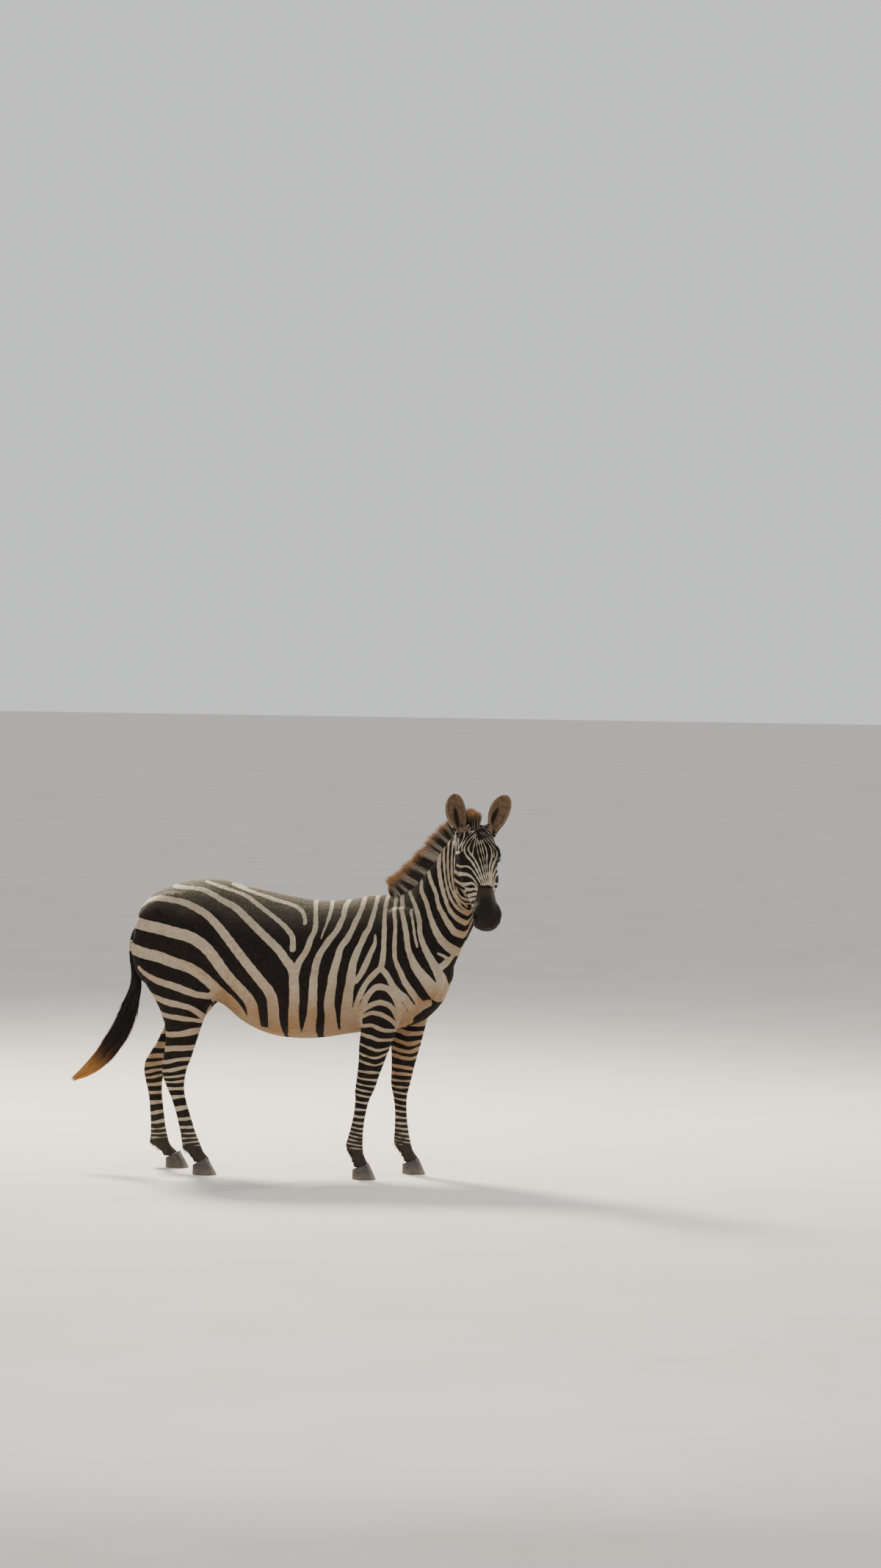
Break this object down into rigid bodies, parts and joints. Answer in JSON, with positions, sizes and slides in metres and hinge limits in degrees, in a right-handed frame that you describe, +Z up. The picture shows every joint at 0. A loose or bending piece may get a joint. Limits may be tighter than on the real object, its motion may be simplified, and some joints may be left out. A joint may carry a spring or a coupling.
{
  "type": "plains zebra, standing, head turned to its right",
  "caption": "Life-size still model of a plains zebra standing with its head turned, upright mane and tail swept back.",
  "frame": {"origin": "centre of the bounding box on the ground plane under the hooves", "axes": "+X from tail to chest along the trunk, +Y to the animal's left, +Z up"},
  "size_m": [2.0616, 0.6804, 1.7824],
  "materials": {
    "hide": "short striped coat",
    "dark_hide": "dark short-haired skin",
    "hair": "coarse upright and hanging hair",
    "horn": "dusty hoof horn",
    "eye": "wet dark eye"
  },
  "bodies": {
    "root": {"head": "hide", "muzzle": "dark_hide", "neck": "hide", "forequarters": "hide", "barrel": "hide", "hindquarters": "hide", "forearm_right": "hide", "forearm_left": "hide", "cannon_fore_right": "hide", "cannon_fore_left": "hide", "gaskin_right": "hide", "gaskin_left": "hide", "cannon_hind_right": "hide", "cannon_hind_left": "hide", "hoof_fore_right": "horn", "hoof_fore_left": "horn", "hoof_hind_right": "horn", "hoof_hind_left": "horn", "ear_right": "hide", "ear_left": "hide", "eye_right": "eye", "eye_left": "eye", "mane": "hair", "forelock": "hair", "tail_dock": "hide", "tail_tuft": "hair"}
  },
  "joints": []
}
